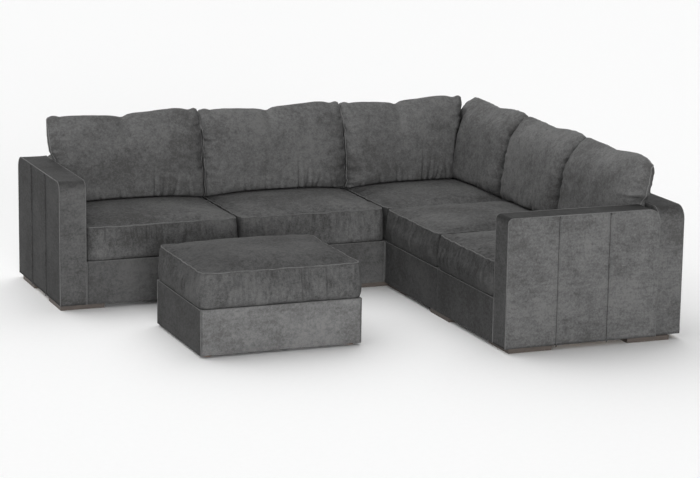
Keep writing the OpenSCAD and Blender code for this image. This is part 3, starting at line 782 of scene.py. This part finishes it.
def build_side(name, seed):
    """Fitted cloth round an arm or a back: two faces, an edge strip, piping and a hem."""
    (start_x, start_y), turn, length, free = SIDES[name]
    rounds = SIDE_ROUNDS.get(name, (SIDE_ROUND, SIDE_ROUND))
    columns, seams = side_columns(length, rounds)
    edge, margin, hem_depth, rows = 0.005, 0.00018, 0.0026, 46
    low, high, top = margin, length - margin, SIDE_H - margin
    columns = low + columns * (high - low) / length
    cols, rise = len(columns), np.linspace(0, 1, rows + 1)

    crest, lean = np.full(cols, top), np.zeros(cols)
    for reach, radius in zip((low + rounds[0] - columns, columns - high + rounds[1]), rounds):
        share = np.clip(reach / radius, 0, 1)
        crest -= radius * (1 - np.sqrt(1 - share ** 2))
        lean += share
    # the outline runs up the start, along the crest and down the end, and ways point out of it
    upright = np.ones(rows)
    outline = np.stack([
        np.concatenate([upright * columns[0], columns, upright * columns[-1]]),
        np.zeros(cols + 2 * rows),
        np.concatenate([rise[:-1] * crest[0], crest, rise[-2::-1] * crest[-1]])], -1)
    ways = np.stack([
        np.concatenate([-upright, np.sign(columns - length / 2) * lean, upright]),
        outline[:, 1],
        np.pad(np.sqrt(np.maximum(0, 1 - lean ** 2)), rows)], -1)
    # the strip across the thickness, with a small round where it meets each face
    bends = [(1.0, 0.0), (0.62, 0.08), (0.29, 0.29), (0.08, 0.62), (0.0, 1.0)]
    across = [(edge * a, edge * b) for a, b in bends]
    across += [(0.0, y) for y in np.linspace(edge, SIDE_T - edge, 13)[1:-1]]
    across += [(edge * a, SIDE_T - edge * b) for a, b in bends[::-1]]
    strip = np.array([
        outline - ways * inset + (0, min(max(y, margin), SIDE_T - margin), 0)
        for inset, y in across])
    strip_index = np.arange(strip.shape[0] * strip.shape[1]).reshape(strip.shape[:2])
    flat = strip.reshape(-1, 3)
    middle = np.clip((flat[:, 1] - edge) / (SIDE_T - 2 * edge), 0, 1) * 4
    soft = np.minimum(1, middle) * np.minimum(1, 4 - middle)
    wave = waves(flat, 0.12, 0.035, 0.0010, seed)
    flat = flat + np.tile(ways, (len(strip), 1)) * (soft * wave)[:, None]
    points, faces = [flat], list(grid_faces(strip_index))
    count = len(flat)
    hems = []
    # the inner face looks to local -Y, and the outer one with its seams to +Y
    for out, end in ((-1, 0), (1, -1)):
        ring, numbers = strip[end], strip_index[end]
        crest_points = ring[rows:rows + cols]
        grid = np.tile(crest_points, (rows + 1, 1, 1))
        grid[..., 2] *= rise[:, None]
        grid[:, 0], grid[:, -1] = ring[:rows + 1], ring[rows + cols - 1:][::-1]
        u, from_crest = grid[..., 0], crest_points[:, 2] - grid[..., 2]
        edge_fade = np.clip(np.minimum(np.minimum(u - low, high - u), from_crest) / 0.03, 0, 1)
        p = grid.reshape(-1, 3)
        relief = waves(p, 0.16, 0.05, 0.0009, seed + 2).reshape(u.shape) * edge_fade
        if out == 1:
            for seam in seams:
                off = u - seam
                groove = -0.0004 * bell(off + 0.005, 0.004) - 0.0013 * bell(off - 0.006, 0.004)
                relief = relief + groove * np.clip(from_crest / 0.004, 0, 1)
        grid[..., 1] += out * relief
        index = np.zeros((rows + 1, cols), int)
        index[:, 0], index[-1, :] = numbers[:rows + 1], numbers[rows:rows + cols]
        index[:, -1] = numbers[rows + cols - 1:][::-1]
        inner = grid[:-1, 1:-1].reshape(-1, 3)
        index[:-1, 1:-1] = count + np.arange(len(inner)).reshape(rows, cols - 2)
        count += len(inner)
        points.append(inner)
        faces += list(grid_faces(index)[:, ::-out])
        hems.append(index[0])
    # the hem turns in and runs up inside
    points = np.vstack(points)
    hem = np.concatenate(
        [hems[0], strip_index[1:-1, -1], hems[1][::-1], strip_index[-2:0:-1, 0]])
    inside_ring = points[hem]
    inside_ring[:, 0] = np.clip(inside_ring[:, 0], low + hem_depth, high - hem_depth)
    inside_ring[:, 1] = np.clip(
        inside_ring[:, 1], margin + hem_depth, SIDE_T - margin - hem_depth)
    raised = inside_ring + (0, 0, 0.03)
    first = np.arange(len(hem)) + len(points)
    second = first + len(hem)
    closed = [np.append(r, r[0]) for r in (hem, first, second)]
    faces += list(grid_faces(np.array(closed)))
    points = np.vstack([points, inside_ring, raised])
    parts = Parts()
    parts.add(points, faces)
    # piping stands a little proud of the top and of the ends that no neighbour touches
    cord, rib, rib_out = 0.0030, 0.0033, 0.0022
    proud = np.where(ways[:, 0] < -0.9, free[0], np.where(ways[:, 0] > 0.9, free[1], True))
    line = outline - ways * (cord + 0.0001 - proud * 0.0015)[:, None]
    line[:, 2] = np.maximum(line[:, 2], 0.001)
    for y in (cord + 0.0001, SIDE_T - cord + 0.0014):
        parts.add(*tube(line + (0, y, 0), cord, False), 1)
    # the outer face has two seams that stand out as ribs and end a little below the hem
    for seam in seams:
        heights = np.append(np.arange(-0.007, SIDE_H - 0.008, 0.02), SIDE_H - 0.006)
        along = np.stack([heights, heights * 0, heights * 0 + seam], -1)
        sway = 0.0012 * clouds(along, 0.11, seed + 9)
        path = np.stack([seam + sway, np.full(len(heights), SIDE_T + rib_out), heights], -1)
        parts.add(*tube(path, rib, False, 8))
    # from the side's own frame into the plan
    cos, sin = math.cos(math.radians(turn)), math.sin(math.radians(turn))
    for k, (x, y, z) in enumerate(points.T for points in parts.points):
        parts.points[k] = to_row(
            start_x + x * cos - y * sin, start_y + x * sin + y * cos, z, SHOE_H)
    obj = parts.build(name + "_cloth")
    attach(obj, "root")
    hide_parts(name + "_cover")
    return obj


# Materials

def new_material(name):
    material = bpy.data.materials.new(name)
    material.use_nodes = True
    tree = material.node_tree
    return material, tree, tree.nodes["Principled BSDF"], tree.nodes.new("ShaderNodeTexCoord")


def connect(tree, node, inputs):
    """Sets a node's inputs to values or to the outputs of other nodes."""
    for socket, value in inputs.items():
        if isinstance(value, bpy.types.NodeSocket):
            tree.links.new(value, node.inputs[socket])
        else:
            node.inputs[socket].default_value = value


def add_node(tree, kind, inputs, operation=None):
    node = tree.nodes.new("ShaderNode" + kind)
    if operation:
        node.operation = operation
    connect(tree, node, inputs)
    return node


def noise_node(tree, source, scale, detail, roughness=0.55, stretch=None):
    if stretch:
        source = add_node(tree, "Mapping", {"Scale": stretch, "Vector": source}).outputs["Vector"]
    return add_node(tree, "TexNoise", {
        "Scale": scale, "Detail": detail, "Roughness": roughness, "Vector": source}).outputs["Fac"]


def math_node(tree, operation, first, second):
    return add_node(tree, "Math", {0: first, 1: second}, operation).outputs[0]


def weighted(tree, pairs):
    total = None
    for value, weight in pairs:
        term = math_node(tree, "MULTIPLY", value, weight)
        total = term if total is None else math_node(tree, "ADD", total, term)
    return total


def ramp_node(tree, factor, stops):
    node = add_node(tree, "ValToRGB", {"Fac": factor})
    ramp = node.color_ramp
    while len(ramp.elements) < len(stops):
        ramp.elements.new(0.5)
    for element, (place, color) in zip(ramp.elements, stops):
        element.position = place
        element.color = (*color, 1)
    return node.outputs["Color"]


def grey_ramp(tree, factor, *stops):
    return ramp_node(tree, factor, [(place, (value,) * 3) for place, value in stops])


def bump_node(tree, height, distance, strength, normal=None):
    inputs = {"Height": height, "Distance": distance, "Strength": strength}
    if normal is not None:
        inputs["Normal"] = normal
    return add_node(tree, "Bump", inputs).outputs["Normal"]


def velvet(name, dark, light, stretch, seed, painted_facing_light=(0, 0, 0), streaky=0.17):
    """Brushed velvet: clouds where the pile lies two ways, streaks, fine pile and a sheen,
    with painted light and shade by the way each face looks.

    Its painted light and shade by facing says how much lighter faces to the left, front and
    top are made, and after these faces to the right, back and underside; below zero it paints
    shade.
    """
    material, tree, shader, texture = new_material(name)
    place = add_node(tree, "Mapping", {
        "Location": (seed * 0.73, seed * 1.31, seed * 0.47),
        "Vector": texture.outputs["Object"]}).outputs["Vector"]
    broad = noise_node(tree, place, 3.4, 3)
    blotch = noise_node(tree, place, 17, 4, 0.6)
    fleck = noise_node(tree, place, 72, 3, 0.62)
    grain = noise_node(tree, place, 160, 2, 0.6)
    streak = noise_node(tree, place, 1.0, 4, 0.62, stretch)
    pile = noise_node(tree, place, 520, 2, 0.7)
    # the weights of the other four noises come to 0.83 before the streaks take their share
    rest = (1 - streaky) / 0.83
    tone = weighted(tree, [(broad, 0.25 * rest), (blotch, 0.17 * rest), (fleck, 0.22 * rest),
                           (grain, 0.19 * rest), (streak, streaky)])
    color = ramp_node(tree, tone, [(0.43, (dark, dark * 0.985, dark * 0.97)),
                                   (0.50, ((dark + light) / 2,) * 3),
                                   (0.57, (light, light * 0.995, light * 0.985))])
    # painted light and shade: the colour is made lighter or darker by the way each face looks
    normal = add_node(tree, "SeparateXYZ", {"Vector": texture.outputs["Normal"]})
    ways = (("X", -1), ("Y", -1), ("Z", 1), ("X", 1), ("Y", 1), ("Z", -1))
    faced = []
    for (axis, way), lighter in zip(ways, painted_facing_light):
        toward = math_node(tree, "MULTIPLY", normal.outputs[axis], way)
        faced.append((math_node(tree, "MAXIMUM", toward, 0), lighter))
    gain = math_node(tree, "ADD", weighted(tree, faced), 1)
    painted_by_facing = add_node(tree, "VectorMath", {0: color, "Scale": gain}, "SCALE")
    soft = bump_node(tree, weighted(tree, [(blotch, 0.6), (streak, 2.4 * streaky)]), 0.004, 0.5)
    fine = bump_node(tree, weighted(tree, [(fleck, 0.5), (pile, 0.5)]), 0.0012, 0.6, soft)
    connect(tree, shader, {
        "Base Color": painted_by_facing.outputs["Vector"], "Normal": fine,
        "Roughness": grey_ramp(tree, blotch, (0.3, 0.78), (0.7, 0.96)),
        "Specular IOR Level": 0.06, "Sheen Weight": 0.03, "Sheen Roughness": 0.42,
        "Sheen Tint": (0.55, 0.55, 0.54, 1)})
    return material


def wood(name, dark, light, scale, roughness):
    material, tree, shader, texture = new_material(name)
    coord = texture.outputs["Object"]
    grain = noise_node(tree, coord, scale, 5, 0.6, (1.0, 9.0, 9.0))
    pore = noise_node(tree, coord, scale * 6, 3, 0.6, (1.0, 12.0, 12.0))
    tone = weighted(tree, [(grain, 0.7), (pore, 0.3)])
    connect(tree, shader, {
        "Base Color": ramp_node(tree, tone, [(0.36, dark), (0.64, light)]),
        "Roughness": grey_ramp(tree, grain, (0.3, roughness), (0.7, roughness + 0.15)),
        "Normal": bump_node(tree, tone, 0.0008, 0.5)})
    return material


def plain(name, dark, light, scale, roughness, distance, metal=0.0, stretch=None):
    """Speckled material for hidden cloth, foam, plastic and steel."""
    material, tree, shader, texture = new_material(name)
    coord = texture.outputs["Object"]
    speck = noise_node(tree, coord, scale, 4, 0.6, stretch)
    broad = noise_node(tree, coord, 12, 3)
    tone = weighted(tree, [(speck, 0.6), (broad, 0.4)])
    connect(tree, shader, {
        "Base Color": ramp_node(tree, tone, [(0.35, dark), (0.65, light)]),
        "Roughness": grey_ramp(tree, speck, (0.3, roughness), (0.7, min(1, roughness + 0.12))),
        "Normal": bump_node(tree, speck, distance, 0.6), "Metallic": metal})
    return material


def dress(obj, *materials):
    if obj.data.materials:
        obj.data.materials.clear()
    for material in materials:
        obj.data.materials.append(material)


# Building the pieces

# Each velvet's dark and light tone, its streaks' stretch, seed, painted light and shade by
# facing, and share of streaks. The pieces take copies of one velvet, whose painted facing
# light, and in part whose tones, differ as painted light and shade on each piece
VELVETS = {
    "pillow": (0.062, 0.119, (30, 30, 34), 1, (0.20, 0.10, 0.20, -0.35, -0.30, -0.45)),
    "cushion": (0.051, 0.114, (44, 44, 9), 2, (-0.42, 0.12, 0, -0.15, -0.2, -0.3), 0.20),
    "ottoman": (0.051, 0.114, (44, 44, 9), 2, (-0.18, 0.14, -0.28, -0.15, -0.2, -0.3), 0.20),
    "base": (0.074, 0.134, (30, 30, 48), 3, (-0.5, -0.22, 0)),
    "ottoman_base": (0.074, 0.134, (30, 30, 48), 3, (-0.44, 0.48, 0)),
    "left_arm": (0.067, 0.129, (16, 16, 64), 4, (-0.5, -0.12, -0.58)),
    "right_arm": (0.067, 0.129, (16, 16, 64), 4, (-0.36, 0.16, -0.75)),
    "back": (0.067, 0.129, (16, 16, 64), 4, (0.3, 0.08, -0.5)),
    # the piping is painted lighter than the cloth as a painted highlight along the cord, and the
    # pillows' welts, which lie in shade between the pillows, lighter still
    "piping": (0.100, 0.150, (60, 60, 60), 5),
    "pillow_piping": (0.150, 0.210, (60, 60, 60), 6)}

# Dark and light colour, scale and roughness of each wood, and of each other finish these with
# the depth of its bumps, how metallic it is and its stretch
WOODS = {
    "shoe_wood": ((0.044, 0.034, 0.028), (0.092, 0.075, 0.064), 14, 0.5),
    "timber": ((0.30, 0.20, 0.11), (0.44, 0.31, 0.18), 6, 0.62)}
PLAINS = {
    "foam": ((0.36, 0.35, 0.32), (0.50, 0.49, 0.45), 260, 0.9, 0.001),
    "webbing": ((0.20, 0.16, 0.11), (0.33, 0.28, 0.2), 300, 0.85, 0.001, 0, (1, 4, 1)),
    "dust_cloth": ((0.014, 0.014, 0.014), (0.035, 0.035, 0.034), 420, 0.9, 0.0006),
    "peg_plastic": ((0.10, 0.060, 0.045), (0.19, 0.12, 0.09), 160, 0.34, 0.0003),
    "clamp_steel": ((0.36, 0.37, 0.38), (0.5, 0.51, 0.53), 180, 0.34, 0.0002, 1.0, (1, 14, 1))}

# What shows of each seat, how far its cushion swells there, and how the case is mirrored
SEAT_FORMS = {
    "left_seat": ("y", 0.009, (1, 1)), "middle_seat": ("y", 0.009, (1, 1)),
    "corner_seat": ("none", 0.0, (-1, 1)), "wing_seat": ("x", 0.014, (1, 1)),
    "end_seat": ("x", 0.014, (1, -1)), "ottoman": ("all", 0.007, (1, 1))}

row_pillow = pillow_case(TOP_EDGE, SIDE_FORM, SIDE_FORM, 0.010, 0.10, (0.07, 0.11))
wing_pillow = pillow_case(WING_TOP_EDGE, (13, 0.30), (5, 0.40), 0.020, 0.04, (0.05, 0.10))
cushion = cushion_case()
velvets = {name: velvet("velvet_" + name, *look) for name, look in VELVETS.items()}
piping = velvets["piping"]

for number, name in enumerate(PILLOWS):
    case = wing_pillow if PILLOWS[name][1] else row_pillow
    dress(build_pillow(name, case, 100 + 20 * number),
          velvets["pillow"], velvets["pillow_piping"])

# the ottoman's cushion takes its own copy of the cushion velvet, with its own painted light and
# shade
for number, (seat, (free, swell, flip)) in enumerate(SEAT_FORMS.items()):
    cloth = velvets["ottoman" if seat == "ottoman" else "cushion"]
    dress(build_cushion(seat, cushion, free, swell, flip, 300 + 20 * number), cloth, piping)

# the ottoman's base takes its own copy of the base velvet, with its own painted light and shade
for number, seat in enumerate(SEAT_FORMS):
    cloth = velvets["ottoman_base" if seat == "ottoman" else "base"]
    dress(build_base(seat, SEAT_FORMS[seat][0], 500 + 20 * number), cloth, piping)

# each arm takes its own copy of the back velvet, with its own painted light and shade
for number, side in enumerate(SIDES):
    cloth = velvets.get(side, velvets["back"])
    dress(build_side(side, 700 + 20 * number), cloth, piping)

finishes = {name: wood(name, *look) for name, look in WOODS.items()}
finishes.update({name: plain(name, *look) for name, look in PLAINS.items()})
for part in frame["record"]["subparts"]:
    if part["material_slot"] in finishes:
        dress(nodes[part["node"]], finishes[part["material_slot"]])


# Floor, light and camera

def build_floor():
    size = 60.0
    corners = [(-size, -size, 0), (size, -size, 0), (size, size, 0), (-size, size, 0)]
    obj = make_object("floor", corners, [(0, 1, 2, 3)])
    material, tree, shader, texture = new_material("floor_white")
    speck = noise_node(tree, texture.outputs["Object"], 30, 2)
    connect(tree, shader, {
        "Base Color": grey_ramp(tree, speck, (0.3, 0.925), (0.7, 0.935)), "Roughness": 1.0,
        "Specular IOR Level": 0.0})
    dress(obj, material)


def build_world():
    world = bpy.data.worlds.new("studio")
    scene.world = world
    world.use_nodes = True
    tree = world.node_tree
    rays = add_node(tree, "LightPath", {}).outputs
    seen = math_node(tree, "MAXIMUM", rays["Is Camera Ray"], rays["Is Glossy Ray"])
    seen = math_node(tree, "MAXIMUM", seen, rays["Is Transmission Ray"])
    connect(tree, tree.nodes["Background"], {
        "Color": grey_ramp(tree, seen, (0.0, 0.13), (1.0, 1.0)), "Strength": 1.0})


def add_sun(name, strength, angle, azimuth, elevation):
    """Soft light from far away. Azimuth 0 stands behind the viewer's -Y side, 90 at +X."""
    light = bpy.data.lights.new(name, "SUN")
    light.energy = strength
    light.angle = math.radians(angle)
    obj = link(name, light)
    a, e = math.radians(azimuth), math.radians(elevation)
    way = Vector((math.sin(a) * math.cos(e), -math.cos(a) * math.cos(e), math.sin(e)))
    obj.rotation_mode = "QUATERNION"
    obj.rotation_quaternion = way.to_track_quat("Z", "Y")
    obj.location = way * 10


def build_camera():
    """The photograph's own view, as found from the sofa's measured corners."""
    yaw, pitch, roll = 0.384546, 0.212747, 0.015766
    place = (-4.98754, -12.51508, 3.29514)
    level = math.cos(pitch)
    forward = Vector((math.sin(yaw) * level, math.cos(yaw) * level, -math.sin(pitch)))
    right = Vector((math.cos(yaw), -math.sin(yaw), 0))
    up = right.cross(forward)
    turned_right = math.cos(roll) * right + math.sin(roll) * up
    turned_up = -math.sin(roll) * right + math.cos(roll) * up
    matrix = Matrix((turned_right, turned_up, -forward)).transposed().to_4x4()
    matrix.translation = Vector(place)
    data = bpy.data.cameras.new("camera")
    data.sensor_width = 36
    data.lens = 127.66
    data.clip_end = 200
    scene.camera = link("camera", data)
    scene.camera.matrix_world = matrix


build_floor()
build_world()
add_sun("key", 2.95, 30, -9, 4)
add_sun("left", 0.45, 50, -70, 24)
add_sun("top", 3.00, 90, 184, 53)
build_camera()
scene.view_settings.view_transform = "Standard"
